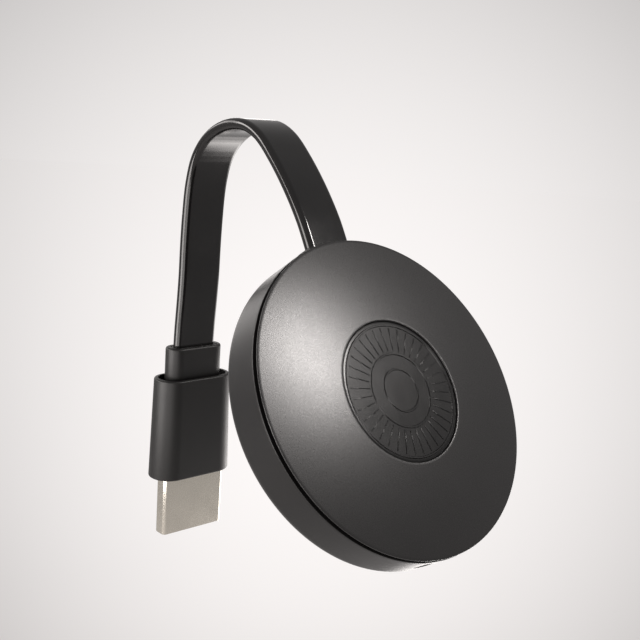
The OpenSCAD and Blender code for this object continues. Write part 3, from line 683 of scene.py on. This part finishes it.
def soft_ended(points, low, high, edge, segments=4, draft=(1.0, 1.0)):
    """A prism whose rims at both ends are rounded and which may narrow towards its top."""
    bm = outline_block(points, low, high)
    for v in bm.verts:
        if v.co.z > (low + high) / 2:
            v.co.x *= draft[0]
            v.co.y *= draft[1]
    rims = [e for e in bm.edges if abs(e.verts[0].co.z - e.verts[1].co.z) < NEAR]
    bevelled(bm, rims, edge, segments, clamp=True)
    return bm


class DONGLE_OT_grip(bpy.types.Operator):
    """Adds the moulded grip, which narrows towards its sunk top, and the collar that rises from it"""
    bl_idname = "dongle.grip"
    bl_label = "Grip and collar"

    def execute(self, context):
        sizes = context.scene.dongle_cable
        width, thick = sizes.grip_w / MM, sizes.grip_t / MM
        slot_x, slot_y = sizes.cable_t / MM + 2 * FIT, sizes.cable_w / MM + 2 * FIT
        # The grip: its ends, the depth of its sunk top and the rim round that, its rounding and its taper
        low, high, sunk, rim, edge, narrow = 11.5, 31.4, 0.9, 0.75, 0.35, (0.92, 0.94)
        # The room for the plug's board, where the cable's slot starts, and then the collar
        room_x, room_y, room_top, slot_low = 2.5, 13.8, 27.2, 27.0
        collar_w, collar_t, collar_edge, flare = 12.0, 4.6, 0.45, 0.5
        well_low, collar_top = high - sunk, COLLAR_TOP / MM
        black = plastic("grip_black", sizes.grip_colour, 0.46, specular=0.31)
        well = pill(width * narrow[1] - 2 * rim, thick * narrow[0] - 2 * rim)
        hollow = [outline_block(plug_outline(FIT), low - OVERRUN, SHELL_END + FIT),
                  upright_block(room_x, room_y, SHELL_END, room_top),
                  upright_block(slot_x, slot_y, slot_low, high + OVERRUN),
                  outline_block(well, well_low, high + OVERRUN)]
        grip = soft_ended(pill(width, thick), low, high, edge, draft=narrow)
        grip = combined(grip, hollow, "DIFFERENCE")
        finished("plug_grip", grip, UPRIGHT, "plug", ["plug_overmold"], black)
        slots = [upright_block(slot_x, slot_y, well_low - OVERRUN, collar_top + OVERRUN),
                 upright_block(slot_x + flare, slot_y + flare, collar_top - flare, collar_top + OVERRUN)]
        collar = soft_ended(pill(collar_w, collar_t), well_low, collar_top, collar_edge)
        collar = combined(collar, slots, "DIFFERENCE")
        finished("cable_collar", collar, UPRIGHT, "plug", ["plug_collar"], black)
        return {"FINISHED"}


def plug_outline(grow=0.0, corner=0.5, steps=8):
    """Outline of the plug's shell, with two slanted corners, grown all round."""
    wide, tall = PLUG_W / 2 + grow, PLUG_T / 2 + grow
    corners = [(tall, wide), (tall, -wide), (PLUG_SLANT - tall, -wide), (-tall, PLUG_SLANT - wide),
               (-tall, wide - PLUG_SLANT), (PLUG_SLANT - tall, wide)]
    return rounded_outline(corners, [corner + grow] * len(corners), steps)


class DONGLE_OT_plug(bpy.types.Operator):
    """Adds the plug's metal shell, folded from sheet, with a rounded mouth and a seam"""
    bl_idname = "dongle.plug"
    bl_label = "Plug shell"

    def execute(self, context):
        sizes = context.scene.dongle_cable
        sheet, fold_r, mouth_round = 0.4, 0.8, 0.14
        seam_w, seam_depth, seam_len = 0.06, 0.3, 12.0
        bm = soft_ended(plug_outline(corner=fold_r), 0.0, SHELL_END, mouth_round, 3)
        seam = block((seam_depth, seam_w, seam_len), (-PLUG_T / 2, 0.0, seam_len / 2))
        inside = outline_block(plug_outline(-sheet), -OVERRUN, SHELL_END + OVERRUN)
        bm = combined(bm, [inside, seam], "DIFFERENCE")
        finished("plug_metal", bm, UPRIGHT, "plug", ["plug_shell"],
                 metal("plug_nickel", sizes.metal_colour, 0.22))
        return {"FINISHED"}


# Body
def cover_clips(grow):
    """The cover's four clips, or with a gap grown round them the pockets that they snap into."""
    # The clips: their directions, half their width, their reach below the skirt, their root and their hook
    clip_turns, clip_half_w, clip_reach, clip_root = (75, 150, 210, 285), 1.5, 1.5, 0.5
    hook_depth, hook_h = 0.35, 0.8
    face, half, low = INNER_R - 2 * FIT, clip_half_w + grow, SKIRT_END - clip_reach - grow
    tools = []
    for turn in clip_turns:
        for start, end, top in ((SKIRT_IN_R, face, SKIRT_END + clip_root),
                                (face - hook_depth, face + hook_depth + grow, low + hook_h + 2 * grow)):
            tools.append(block((end - start, 2 * half, top - low), ((start + end) / 2, 0, (low + top) / 2),
                               turn=math.radians(turn)))
    return tools


class DONGLE_OT_cover(bpy.types.Operator):
    """Adds the domed front cover with its round recess, its skirt and its clips"""
    bl_idname = "dongle.cover"
    bl_label = "Front cover"

    def execute(self, context):
        sizes = context.scene.dongle_body
        r_out, rise, recess = sizes.body_r / MM, sizes.dome_rise / MM, sizes.recess_r / MM

        def dome(r):
            return rise * (1 - (r / r_out) ** 2) + RIM_TOP

        steps, recess_round, rim_round = 30, 0.16, 0.07
        top = [recess + (r_out - recess) * i / steps for i in range(steps + 1)]
        # The ring under the cover that presses on the heat spreader
        press_in, press_out, press_low = 15.0, 16.0, -1.4
        outline = [(0, RECESS_Z), (recess, RECESS_Z), *[(r, dome(r)) for r in top], (r_out, RIM_LOW),
                   (SKIRT_R, RIM_LOW), (SKIRT_R, SKIRT_END), (SKIRT_IN_R, SKIRT_END),
                   (SKIRT_IN_R, CEILING), (press_out, CEILING), (press_out, press_low),
                   (press_in, press_low), (press_in, CEILING), (0, CEILING)]
        bm = turned(outline, sizes.segments)
        rounded_ring(bm, recess, dome(recess), recess_round)
        rounded_ring(bm, r_out, RIM_TOP, rim_round)
        bm = combined(bm, cover_clips(0), "UNION")
        satin = plastic("cover_satin", sizes.cover_colour, 0.285, grain=8000.0, specular=0.4, worn=0.006)
        finished("cover_dome", bm, HEAD, "head", ["front_cover"], satin)
        return {"FINISHED"}


class DONGLE_OT_inlay(bpy.types.Operator):
    """Adds the plain plate in the recess, with rings and fine ribs"""
    bl_idname = "dongle.inlay"
    bl_label = "Front inlay"

    def execute(self, context):
        sizes = context.scene.dongle_body
        radius, plate_round = sizes.recess_r / MM - FIT, 0.1
        ring_shares, ring_foot, ring_crest, ring_top = (0.94, 0.52, 0.3), 0.2, 0.1, INLAY_TOP + 0.14
        outline = [(0, RECESS_Z), (radius, RECESS_Z), (radius, INLAY_TOP)]
        for share in ring_shares:
            for r, z in ((ring_foot, INLAY_TOP), (ring_crest, ring_top),
                         (-ring_crest, ring_top), (-ring_foot, INLAY_TOP)):
                outline.append((radius * share + r, z))
        outline.append((0, INLAY_TOP))
        bm = turned(outline, sizes.segments)
        rounded_ring(bm, radius, INLAY_TOP, plate_round, 2)
        ribs = bmesh.new()
        rib_in_share, rib_out_share, rib_w, rib_h, rib_round = 0.56, 0.9, 0.13, 0.16, 0.04
        for i in range(sizes.inlay_ribs):
            made = bmesh.ops.create_cube(ribs, size=1.0)["verts"]
            bmesh.ops.scale(ribs, vec=(radius * (rib_out_share - rib_in_share), rib_w, rib_h), verts=made)
            middle = radius * (rib_out_share + rib_in_share) / 2
            bmesh.ops.translate(ribs, vec=(middle, 0, INLAY_TOP), verts=made)
            rotated(ribs, TURN * i / sizes.inlay_ribs, "Z", made)
        bevelled(ribs, list(ribs.edges), rib_round, 2)
        bm = combined(bm, [ribs], "UNION")
        gloss = plastic("inlay_gloss", sizes.inlay_colour, 0.24, grain=14000.0, grain_depth=2e-6,
                        specular=0.25)
        finished("inlay_plate", bm, HEAD, "head", ["front_inlay"], gloss)
        return {"FINISHED"}


def rear_face(r):
    """Height of the rear's outer face at a radius, millimetres."""
    return REAR_Z if r < PAD_R else REAR_Z + REAR_RISE * ((r - PAD_R) / (EDGE_MID_R - PAD_R)) ** 2


def post(shape, at_r, turn, top):
    """A round post on the rear's floor at a direction, and the pilot hole in its top."""
    radius, pilot_r, pilot_depth = shape
    low = rear_face(at_r - radius) + SHELL_WALL - FIT
    return [moved(round_bar(r, end - start, POST_STEPS), turn, at_r, (start + end) / 2)
            for r, start, end in ((radius, low, top), (pilot_r, top - pilot_depth, top + OVERRUN))]


def wall_hole(radius, turn):
    """The cut for a round hole through the side wall at a direction."""
    low, high = INNER_R - OVERRUN, SIDE_R + OVERRUN
    cut = rotated(round_bar(radius, high - low, SMALL_STEPS), math.pi / 2, "Y")
    return moved(cut, turn, (low + high) / 2, CONTROL_Z)


class DONGLE_OT_rear(bpy.types.Operator):
    """Adds the rear shell with its posts, its cable saddle and its openings"""
    bl_idname = "dongle.rear"
    bl_label = "Rear shell"

    def execute(self, context):
        sizes, cable = context.scene.dongle_body, context.scene.dongle_cable
        cable_w, cable_t = cable.cable_w / MM, cable.cable_t / MM
        steps, edge_turn, wall_round = 12, math.radians(66), 0.06
        wall = [(SIDE_R, WALL_TOP + (WALL_END - WALL_TOP) * i / steps) for i in range(steps)]
        edge = [(EDGE_MID_R + EDGE_R * math.cos(a), WALL_END - EDGE_R * math.sin(a))
                for a in (edge_turn * i / steps for i in range(steps + 1))]
        radii = [EDGE_MID_R - (EDGE_MID_R - PAD_R) * i / (2 * steps) for i in range(2 * steps + 1)]
        outline = [*wall, *edge, *[(r, rear_face(r)) for r in radii], (0, REAR_Z), (0, REAR_Z + SHELL_WALL),
                   *[(r, rear_face(r) + SHELL_WALL) for r in reversed(radii)], (INNER_R, WALL_END),
                   (INNER_R, SKIRT_END - FIT), (SKIRT_R + FIT, SKIRT_END - FIT), (SKIRT_R + FIT, WALL_TOP)]
        bm = turned(outline, sizes.segments)
        rounded_ring(bm, SIDE_R, WALL_TOP, wall_round)

        # Each kind of post: its radius, its pilot hole's radius and depth, and where it stands
        board_post, board_post_r, board_post_turns = (1.9, 0.7, 1.65), 19.0, (62, 135, 225, 298)
        clamp_post, clamp_y = (1.5, 0.6, 2.05), cable_w / 2 + 2.7
        clamp_post_r, clamp_turn = math.hypot(CLAMP_X, clamp_y), math.atan2(clamp_y, -CLAMP_X)
        posts = [post(board_post, board_post_r, math.radians(turn), BOARD_LOW) for turn in board_post_turns]
        posts += [post(clamp_post, clamp_post_r, math.pi + side * clamp_turn, TAIL_Z + cable_t / 2)
                  for side in (-1, 1)]
        solid = [body for body, pilot in posts]
        holes = [pilot for body, pilot in posts]
        saddle_low, saddle_high, saddle_len, saddle_more = -8.87, TAIL_Z - cable_t / 2, 2.7, 0.8
        solid.append(block((saddle_len, cable_w + saddle_more, saddle_high - saddle_low),
                           (CLAMP_X, 0, (saddle_low + saddle_high) / 2)))
        bm = combined(bm, solid, "UNION")

        opening_depth, opening_round = 4.4, 0.45
        sleeve_opening = (opening_depth, cable_w + SLEEVE_WALLS + 2 * FIT, cable_t + SLEEVE_WALLS + 2 * FIT)
        socket_opening, socket_place, socket_round = (4.0, 8.3, 3.3), (25.4, 0, -3.75), 0.5
        cuts = [*holes, *cover_clips(FIT), block(sleeve_opening, (SLEEVE_X, 0, TAIL_Z), opening_round),
                block(socket_opening, socket_place, socket_round),
                wall_hole(CAP_R + CAP_GAP, BUTTON_TURN), wall_hole(ROD_R + FIT, LIGHT_TURN)]
        bm = combined(bm, cuts, "DIFFERENCE")
        satin = plastic("shell_satin", sizes.shell_colour, 0.34, specular=0.3)
        finished("shell_cup", bm, HEAD, "head", ["rear_shell"], satin)
        return {"FINISHED"}


class DONGLE_OT_sleeve(bpy.types.Operator):
    """Adds the soft sleeve that the cable leaves the wall through"""
    bl_idname = "dongle.sleeve"
    bl_label = "Cable sleeve"

    def execute(self, context):
        cable = context.scene.dongle_cable
        width, thick = cable.cable_w / MM, cable.cable_t / MM
        place, length, lip_round, hole_round = (SLEEVE_X, 0, TAIL_Z), 3.0, 0.42, 0.3
        bm = block((length, width + SLEEVE_WALLS, thick + SLEEVE_WALLS), place, lip_round, 4)
        hole = block((length + 2 * OVERRUN, width + 2 * FIT, thick + 2 * FIT), place, hole_round, 2)
        bm = combined(bm, [hole], "DIFFERENCE")
        rubber = plastic("sleeve_rubber", cable.jacket_colour, 0.6, grain=7000.0, specular=0.35)
        finished("cable_sleeve", bm, HEAD, "head", ["exit_grommet"], rubber)
        return {"FINISHED"}


class DONGLE_OT_controls(bpy.types.Operator):
    """Adds the reset button and the clear light pipe beside the power socket"""
    bl_idname = "dongle.controls"
    bl_label = "Button and light"

    def execute(self, context):
        stem_r, shoulder_r, cap_back, cap_face, cap_round = 0.7, 1.8, 22.25, 26.35, 0.2
        cap = turned([(0, cap_back), (stem_r, cap_back), (stem_r, SHOULDER_IN), (shoulder_r, SHOULDER_IN),
                      (shoulder_r, SHOULDER_OUT), (CAP_R, SHOULDER_OUT), (CAP_R, cap_face), (0, cap_face)],
                     SMALL_STEPS, along_x=True)
        rims = [e for e in cap.edges if all(abs(v.co.x - cap_face) < NEAR and
                                           math.hypot(v.co.y, v.co.z) > stem_r for v in e.verts)]
        bevelled(cap, rims, cap_round, 4)
        finished("button_cap", moved(cap, BUTTON_TURN, 0, CONTROL_Z), HEAD, "button", ["reset_button"],
                 plastic("button_black", (0.012, 0.012, 0.012), 0.35))

        # The rod ends in a slight crown, given by three points from its side to its middle
        rod_back, rod_shoulder_r, crown = 22.05, 1.4, [(ROD_R, 25.9), (0.7, 26.05), (0, 26.1)]
        rod = turned([(0, rod_back), (ROD_R, rod_back), (ROD_R, SHOULDER_IN), (rod_shoulder_r, SHOULDER_IN),
                      (rod_shoulder_r, SHOULDER_OUT), (ROD_R, SHOULDER_OUT), *crown],
                     SMALL_STEPS, along_x=True)
        clear = Nodes("clear_rod", (0.86, 0.88, 0.9), 0.12)
        clear.shader.inputs["Transmission Weight"].default_value = 0.85
        clear.shader.inputs["IOR"].default_value = 1.49
        haze = clear.noise(900.0)
        clear.rough(clear.span(haze, 0.08, 0.22, 0.3, 0.7)).bump(haze, 0.1, 1e-5)
        finished("light_rod", moved(rod, LIGHT_TURN, 0, CONTROL_Z), HEAD, "head", ["light_pipe"],
                 clear.material)
        return {"FINISHED"}


# Finishes of the carried-over pieces
def board_laminate():
    """Green laminate with tracks, tinned pads and the faint weave of the glass cloth."""
    m = Nodes("board_laminate", (0.006, 0.055, 0.03), 0.35)
    tracks = m.cells(420.0, "DISTANCE_TO_EDGE")
    pads = m.cells(650.0)
    weave = m.noise(2500.0, 2.0)
    m.tint(m.span(tracks, 1.0, 0.0, 0.03, 0.07), (0.012, 0.10, 0.05))
    m.tint(m.span(pads, 0.8, 0.0, 0.10, 0.14), (0.5, 0.48, 0.42))
    m.rough(m.span(weave, 0.28, 0.45, 0.3, 0.7)).bump(tracks, 0.2, 3e-5)
    return m.material


def speckled(name, colour, other, roughness, scale=2600.0):
    """Fired, cast or filled stuff: two tones in fine speckles and a fine bump."""
    m = Nodes(name, colour, roughness)
    fine = m.noise(scale, 3.0, 0.7)
    m.tint(m.span(fine, 0.0, 0.9, 0.45, 0.7), other)
    m.rough(m.span(fine, roughness - 0.08, roughness + 0.08, 0.3, 0.7)).bump(fine, 0.15, 1.5e-5)
    return m.material


class DONGLE_OT_inside(bpy.types.Operator):
    """Gives the carried-over pieces inside the body and the plug their finishes"""
    bl_idname = "dongle.inside"
    bl_label = "Inner finishes"

    def execute(self, context):
        jacket = context.scene.dongle_cable.jacket_colour
        screw, copper = (0.5, 0.49, 0.47), (0.72, 0.36, 0.20)
        steel = metal("tinned_steel", (0.62, 0.61, 0.59), 0.32)
        resin = speckled("chip_resin", (0.012, 0.012, 0.013), (0.03, 0.03, 0.03), 0.55)
        gold = metal("contact_gold", (0.83, 0.62, 0.26), 0.22)
        black = plastic("insulator_black", (0.012, 0.012, 0.012), 0.5)
        finishes = {
            "board_screws": metal("screw_steel", screw, 0.3, (1, 1, 1)),
            "clamp_screws": metal("clamp_steel", screw, 0.3, (1, 1, 1)),
            "main_board": board_laminate(), "plug_board": board_laminate(),
            "processor_chip": resin, "memory_chip": resin, "storage_chip": resin, "power_chip": resin,
            "radio_module": steel, "shield_frame": steel, "shield_lid": steel, "clock_crystal": steel,
            "usb_shell": metal("socket_steel", (0.60, 0.59, 0.57), 0.27),
            "power_coils": speckled("coil_ferrite", (0.05, 0.05, 0.052), (0.10, 0.10, 0.10), 0.6),
            "board_capacitors": speckled("capacitor_ceramic", (0.42, 0.30, 0.17), (0.55, 0.42, 0.27), 0.5),
            "thermal_pads": speckled("pad_silicone", (0.30, 0.34, 0.40), (0.22, 0.25, 0.30), 0.8, 1500.0),
            "heat_spreader": metal("spreader_aluminium", (0.72, 0.73, 0.74), 0.38, (1, 24, 1)),
            "usb_tongue": black, "plug_insulator": black,
            "usb_contacts": gold, "plug_contacts": gold,
            "switch_body": plastic("switch_white", (0.62, 0.61, 0.58), 0.45),
            "switch_plunger": plastic("plunger_black", (0.02, 0.02, 0.02), 0.45),
            "status_led": speckled("led_resin", (0.80, 0.79, 0.70), (0.86, 0.85, 0.78), 0.3),
            "antenna_left": metal("antenna_copper", copper, 0.3),
            "antenna_right": metal("antenna_bronze", copper, 0.3),
            "cable_tail": plastic("tail_jacket", jacket, 0.45),
            "cable_root": plastic("root_jacket", jacket, 0.45),
            "cable_header": plastic("header_nylon", (0.68, 0.64, 0.52), 0.5),
            "cable_clamp": plastic("clamp_grey", (0.07, 0.07, 0.075), 0.5),
        }
        for name, material in finishes.items():
            mesh = NODES[name].data
            mesh.materials.clear()
            mesh.materials.append(material)
        return {"FINISHED"}


class DONGLE_PT_pieces(bpy.types.Panel):
    """Lists the dongle's pieces"""
    bl_idname = "DONGLE_PT_pieces"
    bl_label = "Display dongle"
    bl_space_type = "VIEW_3D"
    bl_region_type = "UI"
    bl_category = "Dongle"

    def draw(self, context):
        for operator in PIECES:
            self.layout.operator(operator.bl_idname)
        for group in (context.scene.dongle_body, context.scene.dongle_cable):
            column = self.layout.column()
            for key in group.bl_rna.properties.keys():
                if key not in {"rna_type", "name"}:
                    column.prop(group, key)


PIECES = (DONGLE_OT_stage, DONGLE_OT_grip, DONGLE_OT_plug, DONGLE_OT_cable, DONGLE_OT_cover,
          DONGLE_OT_inlay, DONGLE_OT_rear, DONGLE_OT_sleeve, DONGLE_OT_controls, DONGLE_OT_inside)
CLASSES = (DONGLE_body_sizes, DONGLE_cable_sizes, *PIECES, DONGLE_PT_pieces)


def register():
    for cls in CLASSES:
        bpy.utils.register_class(cls)
    bpy.types.Scene.dongle_body = PointerProperty(type=DONGLE_body_sizes)
    bpy.types.Scene.dongle_cable = PointerProperty(type=DONGLE_cable_sizes)


def unregister():
    del bpy.types.Scene.dongle_cable
    del bpy.types.Scene.dongle_body
    for cls in reversed(CLASSES):
        bpy.utils.unregister_class(cls)


def main():
    register()
    for operator in PIECES:
        group, call = operator.bl_idname.split(".")
        getattr(getattr(bpy.ops, group), call)()


if __name__ == "__main__":
    main()
